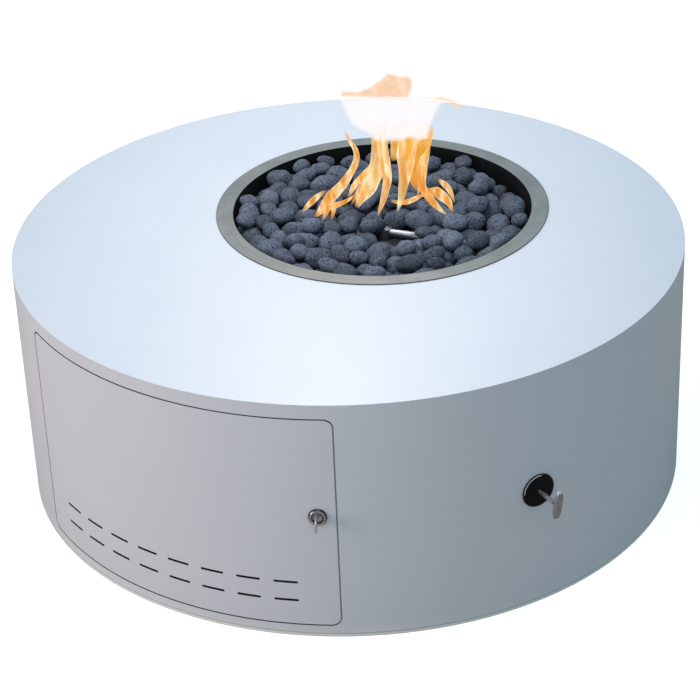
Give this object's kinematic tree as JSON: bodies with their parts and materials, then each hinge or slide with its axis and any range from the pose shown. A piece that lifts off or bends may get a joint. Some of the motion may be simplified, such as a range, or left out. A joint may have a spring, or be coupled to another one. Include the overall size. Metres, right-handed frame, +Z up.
{
  "type": "gas fire pit",
  "caption": "Low round steel gas fire pit with an off-centre burner pan of lava stones, a flush curved door with vent slots and a cam lock, and a key-operated gas valve.",
  "frame": {"origin": "centre of the foot, on the floor", "axes": "+Z up, -Y towards the door, +X to the right of someone who faces the door"},
  "size_m": [1.22, 1.22, 0.458],
  "materials": {
    "shell_paint": "satin",
    "zinc_steel": "satin",
    "stainless": "satin",
    "black_iron": "matte",
    "brass": "satin",
    "black_plate": "satin",
    "chrome": "polished",
    "nickel": "polished",
    "lava_bed": "matte",
    "lava_stone": "matte"
  },
  "bodies": {
    "drum": {"side_wall": "shell_paint", "top_plate": "shell_paint", "foot_flange": "shell_paint", "frame_posts": "shell_paint", "pan_collar": "shell_paint", "door_stop": "shell_paint", "hinge_brackets": "zinc_steel", "hinge_pins": "zinc_steel", "burner_pan": "stainless", "burner_ring": "stainless", "burner_hub": "stainless", "burner_nipple": "black_iron", "nipple_locknuts": "zinc_steel", "pipe_elbow": "black_iron", "air_mixer": "brass", "hose_nuts": "brass", "gas_hose": "stainless", "lava_fill": "lava_bed", "lava_stones": "lava_stone", "valve_body": "brass", "valve_locknut": "brass", "valve_cover_plate": "black_plate", "inlet_adapter": "brass"},
    "valve_stem": {"valve_stem": "stainless", "valve_ball": "stainless"},
    "gas_key": {"gas_key": "chrome"},
    "door": {"door_panel": "shell_paint", "hinge_knuckles": "zinc_steel", "lock_barrel": "chrome", "lock_nut": "zinc_steel"},
    "lock_plug": {"lock_plug": "chrome", "lock_cam": "zinc_steel", "cam_screw": "zinc_steel"},
    "door_key": {"door_key": "nickel"}
  },
  "joints": [
    {"name": "door_hinge", "type": "hinge", "parent": "drum", "child": "door", "pos_m": [-0.2812, -0.53002, 0.2265], "axis": [0, 0, -1], "range_deg": [0, 105]},
    {"name": "lock_turn", "type": "hinge", "parent": "door", "child": "lock_plug", "pos_m": [0.27969, -0.5421, 0.243], "axis": [0.4585, -0.8887, 0], "range_deg": [0, 90]},
    {"name": "door_key_pull", "type": "slide", "parent": "lock_plug", "child": "door_key", "axis": [0.4585, -0.8887, 0], "range_m": [0, 0.03]},
    {"name": "valve_turn", "type": "hinge", "parent": "drum", "child": "valve_stem", "pos_m": [0.54429, -0.27542, 0.2285], "axis": [0.8923, -0.4515, 0], "range_deg": [-90, 0]},
    {"name": "gas_key_pull", "type": "slide", "parent": "valve_stem", "child": "gas_key", "axis": [0.8923, -0.4515, 0], "range_m": [0, 0.08]}
  ]
}
